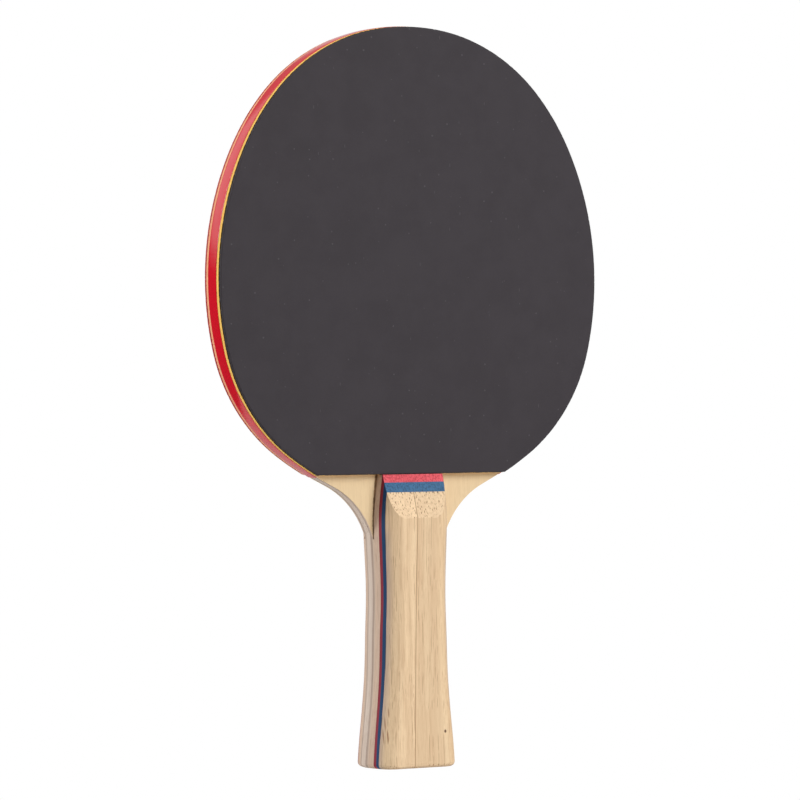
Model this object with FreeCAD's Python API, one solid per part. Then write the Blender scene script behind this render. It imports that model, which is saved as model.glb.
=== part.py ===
import FreeCAD, Part
import math
import os

from FreeCAD import Vector

# Table tennis paddle, millimetres.
# The origin is the middle of the handle's butt. +Z runs up the handle to the head's tip,
# the front (black) rubber faces -Y and the back (red) rubber faces +Y. Left is -X, right is +X.

# --- Blade outline -----------------------------------------------------------------------
BLADE_LENGTH = 256.0          # butt to tip of the bare plywood
# Right half of the outline from the tip down, as arcs that flow into each other.
# Each is a radius and the heading where it ends: 0 runs sideways, 90 runs straight down.
HEAD_ARCS = [
    (78.0, 9.0),              # tip
    (67.0, 49.0),             # crown
    (84.0, 64.0),             # shoulder
    (105.0, 104.0),           # side
    (61.5, 145.0),            # heel
    (114.0, 155.0),           # wing
]
NECK_RADIUS = 30.3            # hollow curve from the wing to the handle
NECK_END_HEADING = 94.0       # ends just inside the handle's side

# --- Blade plies, front to back ----------------------------------------------------------
PLIES = [
    ("front_face_ply", 0.6),
    ("front_medial_ply", 1.0),
    ("core_ply", 2.7),
    ("back_medial_ply", 1.0),
    ("back_face_ply", 0.6),
]
BLADE_HALF = sum(thickness for _, thickness in PLIES) / 2.0

# --- Rubber covering and edge tape -------------------------------------------------------
RUBBER_BOTTOM = 101.3         # height of the straight lower edge of both rubbers
SPONGE_THICKNESS = 1.5
TOPSHEET_THICKNESS = 1.4
TOPSHEET_INSET = 0.15         # the stretched sheet springs back a little from the cut edge
TAPE_THICKNESS = 0.2
TAPE_BOTTOM = 100.8           # the tape ends just below the rubbers' corners

# --- Handle ------------------------------------------------------------------------------
# The flared grip where it changes: height, half width at the blade's middle plane, half
# thickness, how fast the flank leans in with depth, and radius of the front corners
HANDLE_STATIONS = [
    (0.0, 17.25, 12.05, 0.26, 6.0),    # butt
    (10.0, 16.35, 11.8, 0.21, 6.5),
    (22.0, 15.05, 11.5, 0.16, 7.0),    # flare
    (37.0, 14.25, 11.2, 0.17, 7.0),
    (52.0, 14.0, 11.0, 0.20, 7.0),
    (62.0, 13.95, 10.95, 0.22, 7.0),    # waist
    (70.0, 14.3, 11.0, 0.24, 7.3),
    (78.0, 14.95, 11.1, 0.30, 7.5),
    (86.0, 15.25, 11.15, 0.33, 7.5),   # swells where it spreads onto the blade
    (92.0, 14.8, 11.2, 0.31, 8.0),
    (97.0, 14.35, 11.2, 0.33, 8.0),
    (103.0, 13.6, 11.2, 0.35, 8.0),    # top, cut back to the rubbers' edge
]
BACK_CORNER_RADIUS = 10.0     # the fingers' side is rounder than the front
FLANK_CREST_RADIUS = 10.0     # rounds the two leaning flanks into each other
BUTT_ROUNDING = 1.6

# Depth from the blade's middle plane at which each glued layer of a handle half ends
HANDLE_LAYERS = [
    ("base_strip", 5.4),
    ("red_veneer", 6.6),
    ("blue_veneer", 7.85),
]
RAMP_TOP_DEPTH = 5.6          # depth of the handle's top end, just under the rubber's face
RAMP_SLOPE = 0.37             # rise of the bevelled top in depth per millimetre down

# The outer block is two pieces edge-glued on a slightly slanted plane
JOINT_X_AT_BUTT = -3.0
JOINT_X_AT_RAMP = -1.0
RAMP_JOINT_HEIGHT = 95.0

MARGIN = 5.0                  # how far cutting tools reach past what they cut


def arc_between(start, heading, end_heading, radius):
    """An arc in the XZ plane that leaves start at heading; a negative radius bends outward."""
    def point(at_heading):
        turned = math.radians(at_heading)
        begun = math.radians(heading)
        across = radius * (math.sin(turned) - math.sin(begun))
        down = radius * (math.cos(turned) - math.cos(begun))
        return start + Vector(across, 0, down)

    middle = point((heading + end_heading) / 2.0)
    end = point(end_heading)
    return Part.Arc(start, middle, end).toShape(), end


def right_half_edges(head_only):
    """Edges of the outline's right half, tip first, and the point where they end."""
    arcs = list(HEAD_ARCS)
    if not head_only:
        arcs.append((-NECK_RADIUS, NECK_END_HEADING))
    edges = []
    point = Vector(0, 0, BLADE_LENGTH)
    heading = 0.0
    for radius, end_heading in arcs:
        edge, point = arc_between(point, heading, end_heading, radius)
        edges.append(edge)
        heading = end_heading
    return edges, point


def outline_face(head_only):
    """The blade's flat outline at y = 0, closed straight across its lower end."""
    right, low_point = right_half_edges(head_only)
    left = [edge.mirror(Vector(0, 0, 0), Vector(1, 0, 0)) for edge in right]
    across = Part.LineSegment(Vector(-low_point.x, 0, low_point.z), low_point).toShape()
    wire = Part.Wire(Part.__sortEdges__(right + left + [across]))
    return Part.Face(wire)


def slab(front, back, low=-MARGIN, high=BLADE_LENGTH + MARGIN):
    """A wide box between two depths and two heights."""
    reach = 100.0
    return Part.makeBox(2 * reach, back - front, high - low, Vector(-reach, front, low))


def plate(face, front, back):
    """A flat outline given thickness from depth front to depth back."""
    moved = face.translated(Vector(0, front, 0))
    return moved.extrude(Vector(0, back - front, 0))


def arc_points(centre, radius, begin, end):
    """Start, middle and end of an arc across the handle, with angles in degrees."""
    points = []
    for angle in (begin, (begin + end) / 2.0, end):
        turned = math.radians(angle)
        points.append(centre + Vector(math.cos(turned), math.sin(turned), 0) * radius)
    return points


def handle_section(height, half_width, half_thickness, lean, corner_radius):
    """A slice across the handle: flat faces, round corners and flanks that lean in."""
    lean_angle = math.degrees(math.atan(lean))
    stretch = math.sqrt(1.0 + lean * lean)

    def corner_centre(radius, side):
        depth = half_thickness - radius
        return Vector(half_width - lean * depth - radius * stretch, side * depth, height)

    crest_x = half_width - FLANK_CREST_RADIUS * stretch
    right = [
        arc_points(corner_centre(corner_radius, -1), corner_radius, -90, -lean_angle),
        arc_points(Vector(crest_x, 0, height), FLANK_CREST_RADIUS, -lean_angle, lean_angle),
        arc_points(corner_centre(BACK_CORNER_RADIUS, 1), BACK_CORNER_RADIUS, lean_angle, 90),
    ]
    left = [[Vector(-point.x, point.y, height) for point in points[::-1]] for points in right[::-1]]
    arcs = right + left
    edges = []
    for points, following in zip(arcs, arcs[1:] + arcs[:1]):
        edges.append(Part.Arc(*points).toShape())
        edges.append(Part.LineSegment(points[2], following[0]).toShape())
    return Part.Wire(edges)


def grip_body():
    """The outer shape of blade tang and handle together, with the butt's edge rounded over."""
    sections = [handle_section(*station) for station in HANDLE_STATIONS]
    body = Part.makeLoft(sections, True, False)
    butt_edges = [edge for edge in body.Edges if edge.BoundBox.ZMax < 0.01]
    return body.makeFillet(BUTT_ROUNDING, butt_edges)


def make_plies(grip):
    """The five plies: each runs from the tip to the butt, and follows the handle's sides."""
    head = outline_face(head_only=False)
    plies = {}
    front = -BLADE_HALF
    for name, thickness in PLIES:
        back = front + thickness
        tang = grip.common(slab(front, back, high=RUBBER_BOTTOM))
        plies[name] = plate(head, front, back).fuse(tang).removeSplitter()
        front = back
    return plies


def rubber_face(inset):
    """The head's outline above the rubber's straight lower edge, pulled in by inset."""
    face = outline_face(head_only=True)
    if inset > 0:
        face = face.makeOffset2D(-inset)
    return face.common(slab(-1, 1, low=RUBBER_BOTTOM))


def make_rubbers():
    """Sponge and topsheet on each face of the blade."""
    sponge_face = rubber_face(0.0)
    topsheet_face = rubber_face(TOPSHEET_INSET)
    sponge_outside = BLADE_HALF + SPONGE_THICKNESS
    topsheet_outside = sponge_outside + TOPSHEET_THICKNESS
    return {
        "front_sponge": plate(sponge_face, -sponge_outside, -BLADE_HALF),
        "front_topsheet": plate(topsheet_face, -topsheet_outside, -sponge_outside),
        "back_sponge": plate(sponge_face, BLADE_HALF, sponge_outside),
        "back_topsheet": plate(topsheet_face, sponge_outside, topsheet_outside),
    }


def make_edge_tape():
    """A thin band round the blade's edge, open across the handle."""
    face = outline_face(head_only=False)
    wide = plate(face.makeOffset2D(TAPE_THICKNESS), -BLADE_HALF, BLADE_HALF)
    blade = plate(face, -BLADE_HALF, BLADE_HALF)
    return wide.cut(blade).common(slab(-BLADE_HALF, BLADE_HALF, low=TAPE_BOTTOM))


def ramp_cutter():
    """Everything in front of the bevelled top of the front handle half."""
    reach = HANDLE_STATIONS[0][1] + MARGIN
    top = RUBBER_BOTTOM + MARGIN
    foot_depth = HANDLE_STATIONS[0][2] + MARGIN
    foot = RUBBER_BOTTOM - (foot_depth - RAMP_TOP_DEPTH) / RAMP_SLOPE
    top_depth = RAMP_TOP_DEPTH - MARGIN * RAMP_SLOPE
    corners = [(-top_depth, top), (-foot_depth, foot), (-foot_depth, top), (-top_depth, top)]
    wire = Part.makePolygon([Vector(-reach, y, z) for y, z in corners])
    return Part.Face(wire).extrude(Vector(2 * reach, 0, 0))


def joint_halves():
    """Two tall blocks, left and right of the slanted glue plane of the outer wood."""
    reach = HANDLE_STATIONS[0][1] + MARGIN
    slope = (JOINT_X_AT_RAMP - JOINT_X_AT_BUTT) / RAMP_JOINT_HEIGHT
    low = -MARGIN
    high = RUBBER_BOTTOM + MARGIN
    low_joint = Vector(JOINT_X_AT_BUTT + slope * low, 0, low)
    high_joint = Vector(JOINT_X_AT_BUTT + slope * high, 0, high)
    blocks = {}
    for side, edge_x in (("left", -reach), ("right", reach)):
        corners = [low_joint, high_joint, Vector(edge_x, 0, high), Vector(edge_x, 0, low), low_joint]
        face = Part.Face(Part.makePolygon(corners))
        blocks[side] = face.extrude(Vector(0, -reach, 0))
    return blocks


def half_turn(shape):
    """The shape turned half round the paddle's long axis."""
    return shape.rotated(Vector(0, 0, 0), Vector(0, 0, 1), 180)


def make_half_handle(grip):
    """The half of the handle in front of the blade: three flat layers and two outer blocks."""
    shaped = grip.cut(ramp_cutter())
    pieces = {}
    inside = BLADE_HALF
    for name, outside in HANDLE_LAYERS:
        layer = slab(-outside, -inside, high=RUBBER_BOTTOM)
        pieces[name] = shaped.common(layer)
        inside = outside
    deep = HANDLE_STATIONS[0][2] + MARGIN
    outer = shaped.common(slab(-deep, -inside, high=RUBBER_BOTTOM))
    for side, block in joint_halves().items():
        pieces["outer_" + side] = outer.common(block)
    return pieces


def make_handle(grip):
    """Both halves. The back one is laid out like the front one, turned about the long axis."""
    swapped = {"outer_left": "outer_right", "outer_right": "outer_left"}
    pieces = {}
    for name, shape in make_half_handle(grip).items():
        pieces["front_" + name] = shape
    for name, shape in make_half_handle(half_turn(grip)).items():
        pieces["back_" + swapped.get(name, name)] = half_turn(shape)
    return pieces


def main():
    os.makedirs("parts", exist_ok=True)
    grip = grip_body()
    nodes = {}
    nodes.update(make_plies(grip))
    nodes.update(make_rubbers())
    nodes["edge_tape"] = make_edge_tape()
    nodes.update(make_handle(grip))
    for name, shape in sorted(nodes.items()):
        solid = shape.Solids[0]
        solid.exportStep("parts/" + name + ".step")
        print(name, "solids:", len(shape.Solids), "volume:", round(solid.Volume, 1))


main()
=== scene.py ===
import math
import random

import bpy
from mathutils import Matrix, Vector


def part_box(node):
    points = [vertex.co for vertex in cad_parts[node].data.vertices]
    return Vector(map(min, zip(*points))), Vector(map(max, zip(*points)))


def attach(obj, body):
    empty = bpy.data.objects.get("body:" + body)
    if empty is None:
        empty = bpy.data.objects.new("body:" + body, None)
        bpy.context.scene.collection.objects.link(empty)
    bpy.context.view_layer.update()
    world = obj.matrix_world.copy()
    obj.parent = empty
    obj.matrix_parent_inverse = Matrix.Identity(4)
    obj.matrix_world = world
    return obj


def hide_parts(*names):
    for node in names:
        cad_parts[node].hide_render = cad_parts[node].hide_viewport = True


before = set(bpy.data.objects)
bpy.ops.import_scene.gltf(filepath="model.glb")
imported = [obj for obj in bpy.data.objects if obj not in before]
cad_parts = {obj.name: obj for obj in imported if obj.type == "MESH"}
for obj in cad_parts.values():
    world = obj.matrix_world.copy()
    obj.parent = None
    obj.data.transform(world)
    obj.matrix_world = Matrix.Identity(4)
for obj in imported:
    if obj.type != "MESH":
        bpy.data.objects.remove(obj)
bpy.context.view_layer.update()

# Table tennis paddle, in metres. +Z runs up the handle, the black rubber faces -Y.
MM = 0.001


# --- Sizes read from the frame -----------------------------------------------------------
def low(node):
    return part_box(node)[0]


def high(node):
    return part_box(node)[1]


BLADE_HALF = high("back_face_ply")[1]
SPONGE_OUTSIDE = high("back_sponge")[1]
TOPSHEET_OUTSIDE = high("back_topsheet")[1]
RUBBER_BOTTOM = low("front_sponge")[2]
TAPE_BOTTOM = low("edge_tape")[2]
TIP = high("core_ply")[2]
TAPE_THICKNESS = high("edge_tape")[2] - TIP
TOPSHEET_INSET = high("front_sponge")[2] - high("front_topsheet")[2]

# The head's outline from the tip down its right side, as arcs that flow into each other:
# radius in millimetres and the heading where each ends (0 sideways, 90 straight down)
HEAD_ARCS = [(78.0, 9.0), (67.0, 49.0), (84.0, 64.0),
             (105.0, 104.0), (61.5, 145.0), (114.0, 155.0)]
OUTLINE_STEP = 0.45 * MM

# The glue plane between the two outer blocks of each handle half
JOINT_X_AT_BUTT = -3.0
JOINT_SLOPE = 2.0 / 95.0

# --- Details -----------------------------------------------------------------------------
SKIN = 0.95 * MM              # smooth outer sheet; the rest of the topsheet is pimples
PIMPLE_RADIUS = 0.80 * MM
PIMPLE_PITCH = 2.35 * MM
PIMPLE_BAND = 4.0 * MM        # pimples further in than this can't be seen
POST_SIDES = 14
GLUE_BEAD = 0.40 * MM
GLUE_BOTTOM = 79.0 * MM       # the glue line starts where the handle spreads onto the blade
# The skin's softened rim: distance in from the rim and down from the outer face, millimetres
SKIN_RIM = [(1.0, 0.0), (0.45, 0.0), (0.20, 0.02), (0.08, 0.08), (0.02, 0.18), (0.0, 0.32)]

# --- Wood: cells per millimetre, with the grain along the third axis -----------------------
SWAY_SCALE = (0.03, 0.03, 0.035)
BAND_SCALE = (0.33, 0.33, 0.006)
FIBRE_SCALE = (2.2, 2.2, 0.06)
FINE_SCALE = (6.0, 6.0, 0.25)
VESSEL_SCALE = (1.35, 1.35, 0.0)
PATCH_SCALE = (1.3, 1.3, 0.22)
MOTTLE_SCALE = (1.8, 1.8, 1.2)

# --- Camera ------------------------------------------------------------------------------
CAMERA_AZIMUTH = math.radians(-30.203)
CAMERA_ELEVATION = math.radians(0.616)
CAMERA_ROLL = math.radians(-0.161)
CAMERA_DISTANCE = 1.5
CAMERA_TARGET = Vector((-0.001703, 0.0, 0.126906))
CAMERA_LENS = 194.76

# --- Studio ------------------------------------------------------------------------------
FLOOR_HEIGHT = -0.60          # well below the paddle, so that no shadow falls in the view
FLOOR_RADIUS = 1.50
FLOOR_SIDES = 64
FLOOR_COLOUR = (0.70, 0.70, 0.70, 1.0)
FLOOR_GLOW = 0.08
# Directions of the big softbox and of the white card behind the paddle, and the cosines from
# their middles between which each fades in
SOFTBOX = (-0.50, 0.75, 0.50)
SOFTBOX_EDGE = (0.885, 0.945)
SOFTBOX_LIGHT = 1.15
BACKDROP = (0.50, 0.86, -0.15)
BACKDROP_EDGE = (0.74, 0.86)
BACKDROP_LIGHT = 0.62
ROOF_EDGE = (0.1, 0.8)        # how far up a direction points where the roof fades in
ROOF_LIGHT = 0.50
DIM_LIGHT = 0.06
LAMP_AIM = Vector((0.0, 0.0, 0.13))
LAMPS = [                     # name, place, width and power in watts
    ("key_light", (0.84, -1.60, 1.16), 1.2, 35.0),
    ("fill_light", (1.0, -1.55, -0.30), 0.9, 5.5),
    ("left_light", (-1.5, 0.70, 0.8), 0.7, 20.0),
]


# --- Node materials ----------------------------------------------------------------------
class Shader:
    """Builds one principled material; positions are in millimetres."""

    def __init__(self, name):
        self.material = bpy.data.materials.new(name)
        self.material.use_nodes = True
        self.tree = self.material.node_tree
        self.bsdf = self.tree.nodes["Principled BSDF"]
        coordinates = self.tree.nodes.new("ShaderNodeTexCoord")
        self.position = self.vector_math("SCALE", coordinates.outputs["Object"], scale=1000.0)

    def put(self, value, socket):
        """Links a socket's output, or sets a plain value."""
        if isinstance(value, bpy.types.NodeSocket):
            self.tree.links.new(value, socket)
        elif socket.type == "RGBA" and len(value) == 3:
            socket.default_value = (*value, 1.0)
        else:
            socket.default_value = value

    def vector_math(self, operation, a, b=None, scale=None):
        node = self.tree.nodes.new("ShaderNodeVectorMath")
        node.operation = operation
        self.put(a, node.inputs[0])
        if b is not None:
            self.put(b, node.inputs[1])
        if scale is not None:
            self.put(scale, node.inputs["Scale"])
        return node.outputs[0]

    def stretch(self, vector, factors, offset=(0.0, 0.0, 0.0)):
        """vector times factors, plus offset."""
        return self.vector_math("ADD", self.vector_math("MULTIPLY", vector, factors), offset)

    def maths(self, operation, a, b=0.0):
        node = self.tree.nodes.new("ShaderNodeMath")
        node.operation = operation
        self.put(a, node.inputs[0])
        self.put(b, node.inputs[1])
        return node.outputs[0]

    def axis(self, vector, index):
        node = self.tree.nodes.new("ShaderNodeSeparateXYZ")
        self.put(vector, node.inputs[0])
        return node.outputs[index]

    def step(self, value, start, end):
        """0 at start and 1 at end, smooth between; start may be the larger."""
        node = self.tree.nodes.new("ShaderNodeMapRange")
        node.interpolation_type = "SMOOTHSTEP"
        self.put(value, node.inputs["Value"])
        low_first = start < end
        self.put(start if low_first else end, node.inputs["From Min"])
        self.put(end if low_first else start, node.inputs["From Max"])
        self.put(0.0 if low_first else 1.0, node.inputs["To Min"])
        self.put(1.0 if low_first else 0.0, node.inputs["To Max"])
        return node.outputs["Result"]

    def noise(self, vector, detail=2.0, roughness=0.5, colour=False):
        node = self.tree.nodes.new("ShaderNodeTexNoise")
        self.put(vector, node.inputs["Vector"])
        self.put(1.0, node.inputs["Scale"])
        self.put(detail, node.inputs["Detail"])
        self.put(roughness, node.inputs["Roughness"])
        return node.outputs["Color" if colour else "Fac"]

    def cells(self, vector, dimensions="3D"):
        """Distance to the nearest of scattered points, and a random colour for each point."""
        node = self.tree.nodes.new("ShaderNodeTexVoronoi")
        node.voronoi_dimensions = dimensions
        self.put(vector, node.inputs["Vector"])
        self.put(1.0, node.inputs["Scale"])
        return node.outputs["Distance"], node.outputs["Color"]

    def mix(self, factor, a, b):
        node = self.tree.nodes.new("ShaderNodeMix")
        node.data_type = "RGBA"
        self.put(factor, node.inputs[0])
        self.put(a, node.inputs[6])
        self.put(b, node.inputs[7])
        return node.outputs[2]

    def finish(self, colour, roughness, height=None, bump_mm=0.05, strength=0.5):
        self.put(colour, self.bsdf.inputs["Base Color"])
        self.put(roughness, self.bsdf.inputs["Roughness"])
        if height is not None:
            bump = self.tree.nodes.new("ShaderNodeBump")
            self.put(height, bump.inputs["Height"])
            bump.inputs["Distance"].default_value = bump_mm * MM
            bump.inputs["Strength"].default_value = strength
            self.put(bump.outputs[0], self.bsdf.inputs["Normal"])
        return self.material


def wood(name, light, dark, pore, seed, vessels=1.0, streak=0.5, bands=0.35, mottling=1.0,
         edits=None):
    """Straight-grained wood, solid through the piece. The vessels run along Z, so a face shows
    faint dashes and the bevel dark dots. Surfaces that tilt up or down, such as the bevel, are
    mixed towards a lighter colour as painted light from above, and the lowest 1.3 mm is
    darkened as painted shade along the butt's bottom edge. edits(shader, colour) may change the
    colour."""
    s = Shader(name)
    offset = (seed * 17.3, seed * 31.7, seed * 11.9)
    slow = s.noise(s.stretch(s.position, SWAY_SCALE, offset), 2.0, 0.5, colour=True)
    sway = s.vector_math("SUBTRACT", slow, (0.5, 0.5, 0.5))
    sway = s.vector_math("MULTIPLY", sway, (2.4, 2.4, 0.0))
    grain = s.vector_math("ADD", s.position, sway)
    band = s.noise(s.stretch(grain, BAND_SCALE, offset), 2.0, 0.55)
    fibre = s.noise(s.stretch(grain, FIBRE_SCALE, offset), 3.0, 0.6)
    fine = s.noise(s.stretch(grain, FINE_SCALE, offset), 2.0, 0.6)
    distance, pick = s.cells(s.stretch(grain, VESSEL_SCALE, offset), "2D")
    patchy = s.noise(s.stretch(s.position, PATCH_SCALE, offset), 2.0, 0.5)
    size = s.maths("ADD", s.maths("MULTIPLY", s.axis(pick, 0), 0.12), 0.14)
    vessel = s.step(s.maths("SUBTRACT", size, distance), 0.0, 0.10)
    vessel = s.maths("MULTIPLY", vessel, s.step(patchy, 0.36, 0.50))
    geometry = s.tree.nodes.new("ShaderNodeNewGeometry")
    cut_across = s.step(s.maths("ABSOLUTE", s.axis(geometry.outputs["Normal"], 2)), 0.12, 0.30)
    depth = s.maths("ADD", s.maths("MULTIPLY", cut_across, 0.60), 0.40)
    vessel = s.maths("MULTIPLY", s.maths("MULTIPLY", vessel, depth), vessels)
    tone = s.maths("ADD", s.maths("MULTIPLY", s.step(band, 0.35, 0.68), bands),
                   s.maths("MULTIPLY", s.step(fibre, 0.42, 0.74), streak))
    colour = s.mix(tone, light, dark)
    hairs = s.maths("MULTIPLY", s.step(fine, 0.45, 0.72), 0.75 * streak)
    colour = s.mix(hairs, colour, dark)
    # Surfaces that tilt up or down across the grain, such as the bevel, are mixed towards a lighter
    # colour: painted light, standing in for the light from above on the bevel.
    painted_lit_colour = tuple(1.12 * channel for channel in light)
    colour = s.mix(s.maths("MULTIPLY", cut_across, 0.45), colour, painted_lit_colour)
    mottle = s.noise(s.stretch(s.position, MOTTLE_SCALE, offset), 2.0, 0.6)
    mottle = s.maths("MULTIPLY", s.step(mottle, 0.42, 0.68), s.maths("ADD", cut_across, 0.15))
    colour = s.mix(s.maths("MULTIPLY", mottle, 0.40 * mottling), colour, dark)
    colour = s.mix(vessel, colour, pore)
    # The lowest 1.3 mm is darkened towards the pore colour: painted shade along the butt's bottom
    # edge.
    painted_butt_shade = s.step(s.axis(s.position, 2), 1.3, 0.1)
    colour = s.mix(s.maths("MULTIPLY", painted_butt_shade, 0.40), colour, pore)
    if edits:
        colour = edits(s, colour)
    height = s.maths("SUBTRACT", s.maths("MULTIPLY", fibre, 0.5), s.maths("MULTIPLY", vessel, 0.6))
    roughness = s.maths("ADD", s.maths("MULTIPLY", fibre, 0.16), 0.50)
    s.bsdf.inputs["Specular IOR Level"].default_value = 0.30
    return s.finish(colour, roughness, height, 0.05, 0.5)


def outer_block_edits(side, marks):
    """The glue line of an outer block, painted shade on the rounded corner by its blue edge, small
    torn spots along that edge, and its marks: (centre, half sizes, strength, colour) in
    millimetres. side is -1 in front and 1 at the back."""
    def edits(s, colour):
        x = s.maths("MULTIPLY", s.axis(s.position, 0), float(-side))
        z = s.axis(s.position, 2)
        plane = s.maths("ADD", s.maths("MULTIPLY", z, JOINT_SLOPE), JOINT_X_AT_BUTT)
        away = s.maths("ABSOLUTE", s.maths("SUBTRACT", x, plane))
        glue_line = s.maths("MULTIPLY", s.step(away, 0.22, 0.05), 0.85)
        colour = s.mix(glue_line, colour, (0.33, 0.17, 0.08))
        deep = s.maths("ABSOLUTE", s.axis(s.position, 1))
        # Near the blue edge and low on the handle the block is mixed towards grey-pink: painted shade
        # on its rounded corner.
        painted_corner_shade = s.maths("MULTIPLY", s.step(deep, 10.2, 8.0), s.step(z, 88.0, 78.0))
        painted_corner_shade = s.maths("MULTIPLY", painted_corner_shade, 0.45)
        colour = s.mix(painted_corner_shade, colour, (0.40, 0.31, 0.30))
        chips = s.noise(s.stretch(s.position, (1.1, 0.0, 0.0), (4.0, 0.0, 0.0)), 1.0, 0.5)
        torn = s.maths("MULTIPLY", s.step(chips, 0.50, 0.60), s.step(deep, 8.10, 7.95))
        colour = s.mix(s.maths("MULTIPLY", torn, 0.75), colour, (0.06, 0.06, 0.07))
        for centre, sizes, strength, stain in marks:
            offset = s.vector_math("SUBTRACT", s.position, centre)
            node = s.tree.nodes.new("ShaderNodeVectorMath")
            node.operation = "LENGTH"
            s.put(s.vector_math("DIVIDE", offset, sizes), node.inputs[0])
            inside = s.maths("MULTIPLY", s.step(node.outputs["Value"], 1.0, 0.4), strength)
            colour = s.mix(inside, colour, stain)
        return colour
    return edits


def painted_flank_shade(tint, amount):
    """Paints shade on the sanded flanks, where the surface faces sideways: their colour is mixed
    towards a darker tint as painted shade.
    """
    def edits(s, colour):
        geometry = s.tree.nodes.new("ShaderNodeNewGeometry")
        sideways = s.maths("ABSOLUTE", s.axis(geometry.outputs["Normal"], 0))
        return s.mix(s.maths("MULTIPLY", s.step(sideways, 0.5, 0.9), amount), colour, tint)
    return edits


def rubber(name, colour, pale, speck, roughness):
    """Moulded rubber sheet with faint mottling, and a little dust: specks and short lint."""
    s = Shader(name)
    cloud = s.noise(s.stretch(s.position, (0.09, 0.09, 0.09)), 3.0, 0.6)
    grain = s.noise(s.stretch(s.position, (1.7, 1.7, 1.7)), 3.0, 0.65)
    tone = s.maths("ADD", s.maths("MULTIPLY", s.step(cloud, 0.3, 0.7), 0.45),
                   s.maths("MULTIPLY", s.step(grain, 0.3, 0.75), 0.45))
    mixed = s.mix(tone, colour, pale)
    for stretch, offset, largest in (((0.33, 0.0, 0.33), (0.3, 0.5, 0.7), 0.13),
                                     ((0.50, 0.0, 0.10), (7.3, 0.5, 3.7), 0.09)):
        distance, pick = s.cells(s.stretch(s.position, stretch, offset))
        spot = s.maths("SUBTRACT", s.maths("MULTIPLY", s.axis(pick, 0), largest), distance)
        dust = s.maths("MULTIPLY", s.step(spot, 0.0, 0.03), s.axis(pick, 1))
        mixed = s.mix(s.maths("MULTIPLY", dust, 0.7), mixed, speck)
    rough = s.maths("ADD", s.maths("MULTIPLY", grain, 0.14), roughness)
    s.bsdf.inputs["Specular IOR Level"].default_value = 0.30
    return s.finish(mixed, rough, grain, 0.02, 0.35)


def sponge(name, colour, deep):
    """Open foam: small dark pores with pale walls. Its outer face, which lies in the pimples' shade,
    is painted near black as painted shade.
    """
    s = Shader(name)
    distance, pick = s.cells(s.stretch(s.position, (3.2, 3.2, 3.2)))
    pore = s.maths("MULTIPLY", s.step(distance, 0.42, 0.12), s.axis(pick, 0))
    cloud = s.noise(s.stretch(s.position, (0.5, 0.5, 0.5)), 2.0, 0.5)
    mixed = s.mix(s.maths("MULTIPLY", s.step(cloud, 0.3, 0.7), 0.20), colour, deep)
    mixed = s.mix(s.maths("MULTIPLY", pore, 0.45), mixed, deep)
    depth = s.maths("ABSOLUTE", s.axis(s.position, 1))
    # The outer face is mixed towards near black: painted shade from the pimples over it.
    painted_pimple_shade = s.step(depth, SPONGE_OUTSIDE / MM - 0.10, SPONGE_OUTSIDE / MM - 0.02)
    mixed = s.mix(s.maths("MULTIPLY", painted_pimple_shade, 0.85), mixed, (0.05, 0.035, 0.025))
    s.bsdf.inputs["Specular IOR Level"].default_value = 0.2
    return s.finish(mixed, 0.9, s.maths("MULTIPLY", pore, -1.0), 0.12, 0.7)


def tape(name, colour, worn):
    """Thin glossy plastic tape with fine wrinkles across it."""
    s = Shader(name)
    wrinkle = s.noise(s.stretch(s.position, (0.9, 0.25, 0.9)), 3.0, 0.6)
    fine = s.noise(s.stretch(s.position, (4.0, 2.0, 4.0)), 2.0, 0.6)
    mixed = s.mix(s.maths("MULTIPLY", s.step(wrinkle, 0.42, 0.75), 0.35), colour, worn)
    rough = s.maths("ADD", s.maths("MULTIPLY", fine, 0.08), 0.07)
    height = s.maths("ADD", wrinkle, s.maths("MULTIPLY", fine, 0.25))
    return s.finish(mixed, rough, height, 0.08, 0.22)


def glue(name):
    s = Shader(name)
    blotch = s.noise(s.stretch(s.position, (1.2, 1.2, 0.5)), 3.0, 0.6)
    mixed = s.mix(s.step(blotch, 0.35, 0.7), (0.15, 0.08, 0.035), (0.32, 0.18, 0.085))
    return s.finish(mixed, 0.5, blotch, 0.05, 0.4)


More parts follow.
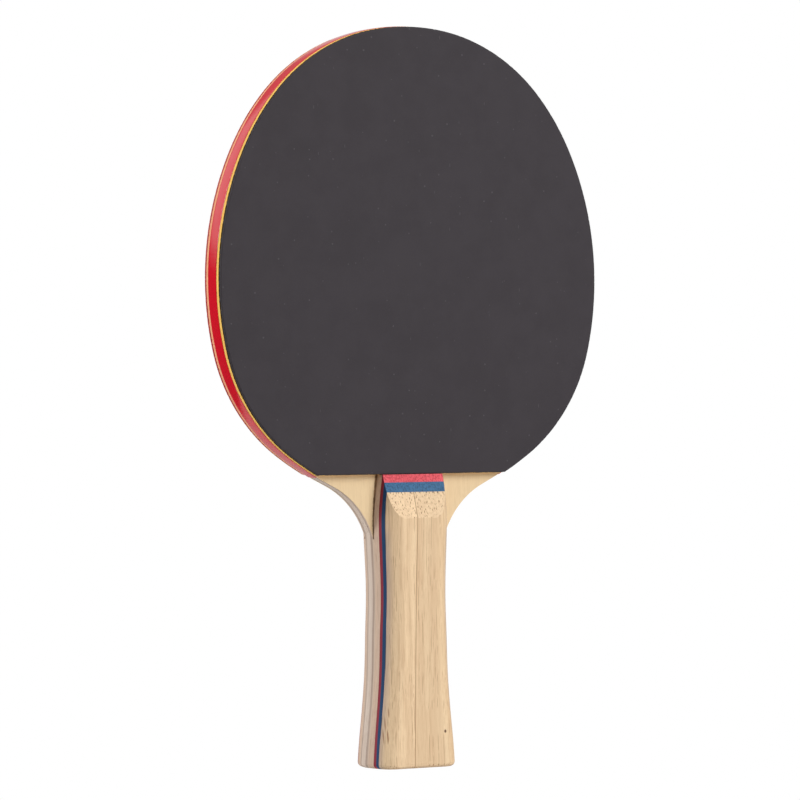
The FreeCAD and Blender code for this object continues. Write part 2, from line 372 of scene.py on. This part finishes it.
def make_materials():
    """One material for each finish, by name."""
    made = {}
    # The face wood and the red and blue dyed woods are painted darker where they face sideways:
    # painted shade on their flanks.
    made["face"] = wood("face_wood", (0.81, 0.61, 0.365), (0.70, 0.50, 0.285), (0.50, 0.29, 0.15), 1,
                        vessels=0.25, streak=0.45, bands=0.12,
                        edits=painted_flank_shade((0.62, 0.48, 0.39), 0.85))
    made["core"] = wood("core_wood", (0.70, 0.58, 0.49), (0.58, 0.45, 0.36), (0.42, 0.29, 0.20), 2)
    made["medial"] = wood("medial_wood", (0.50, 0.38, 0.31), (0.40, 0.29, 0.23), (0.26, 0.17, 0.12), 3)
    made["base"] = wood("handle_base_wood", (0.69, 0.51, 0.385), (0.53, 0.36, 0.26),
                        (0.33, 0.20, 0.13), 4, streak=0.7)
    made["red"] = wood("red_dyed_wood", (0.78, 0.095, 0.12), (0.46, 0.022, 0.04),
                       (0.30, 0.016, 0.025), 5, vessels=0.8, mottling=1.7,
                       edits=painted_flank_shade((0.20, 0.012, 0.03), 0.85))
    made["blue"] = wood("blue_dyed_wood", (0.032, 0.138, 0.285), (0.009, 0.06, 0.14),
                        (0.008, 0.035, 0.09), 6, vessels=0.8, mottling=1.7,
                        edits=painted_flank_shade((0.006, 0.04, 0.12), 0.85))
    resin = (0.27, 0.085, 0.035)
    knot = ((9.3, -11.7, 12.4), (0.66, 2.0, 0.76), 1.0, (0.13, 0.065, 0.035))
    resin_streaks = [((-13.3, -10.6, 16.5), (0.34, 2.6, 5.0), 0.95, resin),
                     ((-12.8, -10.9, 11.5), (0.28, 2.6, 3.4), 0.80, resin),
                     ((-12.2, -11.0, 19.5), (0.24, 2.6, 2.6), 0.70, resin),
                     ((-13.9, -10.2, 12.0), (0.28, 2.6, 4.2), 0.80, resin)]
    # The front left block takes the pale colour, lighter than the plain right block, as painted light;
    # the back right block takes it too.
    pale = (0.86, 0.64, 0.40)
    plain = (0.80, 0.595, 0.37)
    blocks = {"front_left": (-1, 7, pale, 0.52, resin_streaks),
              "front_right": (-1, 8, plain, 0.45, [knot]),
              "back_left": (1, 9, plain, 0.50, []),
              "back_right": (1, 10, pale, 0.55, [])}
    for place, (side, seed, light, streak, marks) in blocks.items():
        made[place] = wood("handle_wood_" + place, light, (0.60, 0.39, 0.225), (0.29, 0.13, 0.055),
                           seed, streak=streak, edits=outer_block_edits(side, marks))
    made["black"] = rubber("black_rubber", (0.031, 0.025, 0.030), (0.041, 0.034, 0.040),
                           (0.12, 0.11, 0.12), 0.62)
    made["dark_red"] = rubber("red_rubber", (0.40, 0.018, 0.020), (0.48, 0.03, 0.03),
                              (0.62, 0.20, 0.18), 0.50)
    made["yellow_foam"] = sponge("yellow_sponge", (1.0, 0.63, 0.15), (0.80, 0.34, 0.05))
    made["orange_foam"] = sponge("orange_sponge", (0.95, 0.44, 0.24), (0.72, 0.24, 0.10))
    made["tape"] = tape("red_tape", (0.68, 0.004, 0.018), (0.72, 0.008, 0.024))
    made["glue"] = glue("glue_bead")
    return made


# --- Meshes ------------------------------------------------------------------------------
def add_piece(name, verts, faces, material, smooth_angle=35.0):
    """A mesh that rides on the paddle's one body and takes the given material as its finish."""
    mesh = bpy.data.meshes.new(name)
    mesh.from_pydata([tuple(v) for v in verts], [], faces)
    mesh.validate()
    mesh.update()
    for polygon in mesh.polygons:
        polygon.use_smooth = True
    mesh.set_sharp_from_angle(angle=math.radians(smooth_angle))
    mesh.materials.append(material)
    piece = bpy.data.objects.new(name, mesh)
    bpy.context.scene.collection.objects.link(piece)
    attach(piece, "root")
    return piece


def head_curve(bottom):
    """The head's outline from its left end at height bottom, over the tip, to its right end:
    points (x, z) with outward normals (nx, nz)."""
    x, z, begin = 0.0, TIP, 0.0
    right = [(0.0, TIP, 0.0, 1.0)]
    for radius_mm, end_heading in HEAD_ARCS:
        radius = radius_mm * MM
        end = math.radians(end_heading)
        count = round(radius * (end - begin) / OUTLINE_STEP)
        for i in range(1, count + 1):
            heading = begin + (end - begin) * i / count
            across = radius * (math.sin(heading) - math.sin(begin))
            down = radius * (math.cos(heading) - math.cos(begin))
            right.append((x + across, z + down, math.sin(heading), math.cos(heading)))
        x, z = right[-1][:2]
        begin = end
    above = [sample for sample in right if sample[1] > bottom + 0.3 * OUTLINE_STEP]
    before, after = above[-1], right[len(above)]
    part = (before[1] - bottom) / (before[1] - after[1])
    above.append(tuple(a + (b - a) * part for a, b in zip(before, after)))
    left = [(-px, pz, -nx, nz) for px, pz, nx, nz in reversed(above[1:])]
    return left + above


def rubber_outline():
    """The rubber's closed outline, with the move that pulls each point in by one unit."""
    curve = head_curve(RUBBER_BOTTOM)
    loop = [(x, z, -nx, -nz) for x, z, nx, nz in curve]
    for index in (0, -1):
        x, z, nx, nz = curve[index]
        inward = Vector((-nx, -nz)) + Vector((0.0, 1.0))
        inward /= inward.dot(Vector((0.0, 1.0)))
        loop[index] = (x, z, inward.x, inward.y)
    width = curve[-1][0] - curve[0][0]
    count = round(width / OUTLINE_STEP)
    for i in range(1, count):
        loop.append((curve[-1][0] - width * i / count, RUBBER_BOTTOM, 0.0, 1.0))
    return loop


def sheet_rings(profile):
    """Rings round the rubber's outline, one for each (inset, depth) in profile."""
    loop = rubber_outline()
    rings = []
    for inset, depth in profile:
        rings.append([Vector((x + ix * inset, depth, z + iz * inset)) for x, z, ix, iz in loop])
    return rings


def join_rings(rings):
    """Quads between neighbouring rings, with the first and last capped."""
    count = len(rings[0])
    verts = [point for ring in rings for point in ring]
    faces = []
    for r in range(len(rings) - 1):
        a, b = r * count, (r + 1) * count
        for i in range(count):
            j = (i + 1) % count
            faces.append((a + i, b + i, b + j, a + j))
    last = (len(rings) - 1) * count
    faces.append(tuple(range(count)))
    faces.append(tuple(range(last + count - 1, last - 1, -1)))
    return verts, faces


def clip_polygon(points, origin, inward):
    """The part of a polygon on the inward side of the line through origin."""
    kept = []
    for here, after in zip(points, points[1:] + points[:1]):
        d_here = (here - origin).dot(inward)
        d_after = (after - origin).dot(inward)
        if d_here >= 0:
            kept.append(here)
        if (d_here >= 0) != (d_after >= 0):
            kept.append(here + (after - here) * (d_here / (d_here - d_after)))
    return kept


def pimples(outer_depth, inner_depth, inset):
    """Short posts near the rim, cut through where the rubber was trimmed."""
    loop = rubber_outline()
    rim = [(Vector((x, z)), Vector((ix, iz)).normalized()) for x, z, ix, iz in loop]
    verts, faces = [], []
    row_height = PIMPLE_PITCH * math.sqrt(3.0) / 2.0
    rows = int((TIP - RUBBER_BOTTOM) / row_height) + 2
    columns = int(high("core_ply")[0] / PIMPLE_PITCH) + 2
    for row in range(rows):
        z = RUBBER_BOTTOM + 0.9 * MM + row * row_height
        for column in range(-columns, columns + 1):
            x = (column + 0.5 * (row % 2)) * PIMPLE_PITCH
            centre = Vector((x, z))
            origin, inward = min(rim, key=lambda item: (item[0] - centre).length_squared)
            inside = (centre - origin).dot(inward) - inset
            if inside < -0.75 * PIMPLE_RADIUS or inside > PIMPLE_BAND:
                continue
            outline = []
            for i in range(POST_SIDES):
                turn = 2.0 * math.pi * i / POST_SIDES
                outline.append(centre + PIMPLE_RADIUS * Vector((math.cos(turn), math.sin(turn))))
            outline = clip_polygon(outline, origin + inward * inset, inward)
            floor = Vector((0.0, RUBBER_BOTTOM + inset))
            outline = clip_polygon(outline, floor, Vector((0.0, 1.0)))
            if len(outline) < 3:
                continue
            first = len(verts)
            count = len(outline)
            for depth in (outer_depth, inner_depth):
                verts.extend(Vector((p.x, depth, p.y)) for p in outline)
            for i in range(count):
                j = (i + 1) % count
                faces.append((first + i, first + j, first + count + j, first + count + i))
            faces.append(tuple(first + i for i in reversed(range(count))))
            faces.append(tuple(first + count + i for i in range(count)))
    return verts, faces


def make_topsheet(side, name, material):
    """A smooth skin with a softened rim, and the pimples under it."""
    outside = side * TOPSHEET_OUTSIDE
    under = side * (TOPSHEET_OUTSIDE - SKIN)
    foot = side * SPONGE_OUTSIDE
    inset = TOPSHEET_INSET
    profile = []
    for inset_mm, depth_mm in SKIN_RIM:
        profile.append((inset + inset_mm * MM, outside - side * depth_mm * MM))
    profile.append((inset + 0.03 * MM, under + side * 0.08 * MM))
    profile.append((inset + 0.10 * MM, under))
    rings = sheet_rings(profile)
    source = random.Random(31 + side)
    loop = rubber_outline()
    for ring in rings[3:-1]:
        for i, (_, _, ix, iz) in enumerate(loop):
            ring[i] += Vector((ix, 0.0, iz)) * (source.random() ** 3 * 0.10 * MM)
    if side > 0:
        rings = rings[::-1]
    verts, faces = join_rings(rings)
    skin = add_piece(name + "_skin", verts, faces, material)
    verts, faces = pimples(under, foot, inset + 0.04 * MM)
    add_piece(name + "_pimples", verts, faces, material)
    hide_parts(name)


def make_sponge(side, name, material):
    """A foam sheet whose cut rim is slightly uneven."""
    inner = side * BLADE_HALF
    outer = side * SPONGE_OUTSIDE
    source = random.Random(11 + side)
    rows = 6
    profile = [(1.2 * MM, outer), (0.5 * MM, outer)]
    for i in range(rows + 1):
        profile.append((0.03 * MM, outer + (inner - outer) * i / rows))
    profile.append((1.2 * MM, inner))
    rings = sheet_rings(profile)
    loop = rubber_outline()
    for ring in rings[2:-1]:
        for i, (_, _, ix, iz) in enumerate(loop):
            bite = source.random() ** 3 * 0.14 * MM
            ring[i] += Vector((ix, 0.0, iz)) * bite
    if side > 0:
        rings = rings[::-1]
    verts, faces = join_rings(rings)
    piece = add_piece(name + "_foam", verts, faces, material, 70.0)
    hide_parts(name)


def make_tape(material):
    """Edge tape: crowned across its width, and lifting slightly at its two ends."""
    curve = head_curve(TAPE_BOTTOM)
    across = [-1.0, -0.985, -0.93, -0.8, -0.55, -0.28, 0.0, 0.28, 0.55, 0.8, 0.93, 0.985, 1.0]
    rings = []
    for index, (x, z, nx, nz) in enumerate(curve):
        from_end = min(index, len(curve) - 1 - index) * OUTLINE_STEP
        lift = 0.10 * MM * math.exp(-((from_end / (1.6 * MM)) ** 2))
        ripple = 0.012 * MM * (math.sin(index * 0.31) + math.sin(index * 0.113 + 1.0))
        ring = []
        for t in across:
            crown = TAPE_THICKNESS * (0.45 + 0.55 * (1.0 - t * t) ** 0.5) - 0.025 * MM
            out = crown + ripple * (1.0 - abs(t)) + lift
            ring.append(Vector((x + nx * out, t * BLADE_HALF, z + nz * out)))
        for t in reversed(across):
            out = 0.005 * MM
            ring.append(Vector((x + nx * out, t * BLADE_HALF, z + nz * out)))
        rings.append(ring)
    verts, faces = join_rings(rings)
    piece = add_piece("edge_tape_band", verts, faces, material, 50.0)
    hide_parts("edge_tape")


def contact_line(node, depth, side_x):
    """Where a base strip's flank meets the blade's face, from the bottom up."""
    points = []
    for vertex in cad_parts[node].data.vertices:
        x, y, z = vertex.co
        if abs(y - depth) < 0.01 * MM and x * side_x > 0.0 and z > GLUE_BOTTOM:
            points.append(Vector((x, y, z)))
    points.sort(key=lambda p: p.z)
    return points


def make_glue_beads(material):
    """The thin line of glue left in the corner between blade and handle, on both sides."""
    for half_name, side in (("front", -1.0), ("back", 1.0)):
        for edge_name, side_x in (("left", -1.0), ("right", 1.0)):
            line = contact_line(half_name + "_base_strip", side * BLADE_HALF, side_x)
            rings = []
            for i, p in enumerate(line):
                taper = 0.6 + 0.9 * (p.z - line[0].z) / (line[-1].z - line[0].z)
                size = GLUE_BEAD * taper * (1.0 + 0.15 * math.sin(i * 2.3 + side))
                corner = p - Vector((side_x * 0.05 * MM, side * 0.05 * MM, 0.0))
                out_x = Vector((side_x * (size + 0.05 * MM), 0.0, 0.0))
                out_y = Vector((0.0, side * (size + 0.05 * MM), 0.0))
                hollow = corner + (out_x + out_y) * 0.36
                rings.append([corner, corner + out_x, hollow, corner + out_y])
            if side * side_x < 0:
                rings = [ring[::-1] for ring in rings]
            verts, faces = join_rings(rings)
            add_piece("glue_bead_%s_%s" % (half_name, edge_name), verts, faces, material,
                      60.0)


def paint_nodes(materials):
    """Gives every CAD node that stays its finish."""
    finish = {"core_ply": "core", "front_medial_ply": "medial", "back_medial_ply": "medial",
              "front_face_ply": "face", "back_face_ply": "face"}
    for half in ("front", "back"):
        finish[half + "_base_strip"] = "base"
        finish[half + "_red_veneer"] = "red"
        finish[half + "_blue_veneer"] = "blue"
        finish[half + "_outer_left"] = half + "_left"
        finish[half + "_outer_right"] = half + "_right"
    for name, key in finish.items():
        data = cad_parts[name].data
        data.materials.clear()
        data.materials.append(materials[key])


# --- Stage -------------------------------------------------------------------------------
def make_camera():
    data = bpy.data.cameras.new("camera")
    camera = bpy.data.objects.new("camera", data)
    bpy.context.scene.collection.objects.link(camera)
    back = Vector((math.sin(CAMERA_AZIMUTH) * math.cos(CAMERA_ELEVATION),
                   -math.cos(CAMERA_AZIMUTH) * math.cos(CAMERA_ELEVATION),
                   math.sin(CAMERA_ELEVATION)))
    level_right = Vector((0.0, 0.0, 1.0)).cross(back).normalized()
    level_up = back.cross(level_right)
    right = math.cos(CAMERA_ROLL) * level_right + math.sin(CAMERA_ROLL) * level_up
    up = math.cos(CAMERA_ROLL) * level_up - math.sin(CAMERA_ROLL) * level_right
    place = Matrix((right, up, back)).transposed().to_4x4()
    place.translation = CAMERA_TARGET + CAMERA_DISTANCE * back
    camera.matrix_world = place
    data.sensor_width = 36.0
    data.lens = CAMERA_LENS
    data.clip_start = 0.05
    data.clip_end = 50.0
    bpy.context.scene.camera = camera


def make_floor():
    mesh = bpy.data.meshes.new("floor")
    ring = []
    for i in range(FLOOR_SIDES):
        turn = 2.0 * math.pi * i / FLOOR_SIDES
        ring.append((FLOOR_RADIUS * math.cos(turn), FLOOR_RADIUS * math.sin(turn), FLOOR_HEIGHT))
    mesh.from_pydata(ring, [], [tuple(range(FLOOR_SIDES))])
    floor = bpy.data.objects.new("floor", mesh)
    bpy.context.scene.collection.objects.link(floor)
    material = bpy.data.materials.new("floor_paper")
    material.use_nodes = True
    bsdf = material.node_tree.nodes["Principled BSDF"]
    bsdf.inputs["Base Color"].default_value = FLOOR_COLOUR
    bsdf.inputs["Roughness"].default_value = 0.9
    bsdf.inputs["Emission Color"].default_value = (1.0, 1.0, 1.0, 1.0)
    bsdf.inputs["Emission Strength"].default_value = FLOOR_GLOW
    mesh.materials.append(material)


def make_world():
    """White studio: a softbox, a white card behind the paddle, a soft roof, and dim elsewhere.
    The camera itself sees plain white."""
    world = bpy.data.worlds.new("studio")
    bpy.context.scene.world = world
    world.use_nodes = True
    nodes, links = world.node_tree.nodes, world.node_tree.links
    background = nodes["Background"]
    coordinates = nodes.new("ShaderNodeTexCoord")
    direction = nodes.new("ShaderNodeSeparateXYZ")
    links.new(coordinates.outputs["Generated"], direction.inputs[0])

    def ramp(source, edge, low_value, high_value):
        node = nodes.new("ShaderNodeMapRange")
        node.interpolation_type = "SMOOTHSTEP"
        node.inputs["From Min"].default_value = edge[0]
        node.inputs["From Max"].default_value = edge[1]
        node.inputs["To Min"].default_value = low_value
        node.inputs["To Max"].default_value = high_value
        links.new(source, node.inputs["Value"])
        return node.outputs["Result"]

    def brighter(a, b):
        node = nodes.new("ShaderNodeMath")
        node.operation = "MAXIMUM"
        links.new(a, node.inputs[0])
        links.new(b, node.inputs[1])
        return node.outputs[0]

    def toward(direction_value):
        node = nodes.new("ShaderNodeVectorMath")
        node.operation = "DOT_PRODUCT"
        node.inputs[1].default_value = Vector(direction_value).normalized()
        links.new(coordinates.outputs["Generated"], node.inputs[0])
        return node.outputs["Value"]

    softbox = ramp(toward(SOFTBOX), SOFTBOX_EDGE, 0.0, SOFTBOX_LIGHT)
    backdrop = ramp(toward(BACKDROP), BACKDROP_EDGE, 0.0, BACKDROP_LIGHT)
    roof = ramp(direction.outputs["Z"], ROOF_EDGE, DIM_LIGHT, ROOF_LIGHT)
    path = nodes.new("ShaderNodeLightPath")
    shown = brighter(brighter(brighter(softbox, backdrop), roof), path.outputs["Is Camera Ray"])
    links.new(shown, background.inputs["Strength"])
    background.inputs["Color"].default_value = (1.0, 1.0, 1.0, 1.0)


def add_area(name, place, size, power):
    """A square soft light aimed at the middle of the paddle."""
    data = bpy.data.lights.new(name, "AREA")
    data.size = size
    data.energy = power
    light = bpy.data.objects.new(name, data)
    bpy.context.scene.collection.objects.link(light)
    place = Vector(place)
    turn = (LAMP_AIM - place).to_track_quat("-Z", "Y")
    light.matrix_world = Matrix.Translation(place) @ turn.to_matrix().to_4x4()


def main():
    materials = make_materials()
    make_camera()
    make_world()
    make_floor()
    for lamp in LAMPS:
        add_area(*lamp)
    paint_nodes(materials)
    make_topsheet(-1, "front_topsheet", materials["black"])
    make_topsheet(1, "back_topsheet", materials["dark_red"])
    make_sponge(-1, "front_sponge", materials["yellow_foam"])
    make_sponge(1, "back_sponge", materials["orange_foam"])
    make_tape(materials["tape"])
    make_glue_beads(materials["glue"])
    bpy.context.scene.view_settings.view_transform = "Standard"


main()
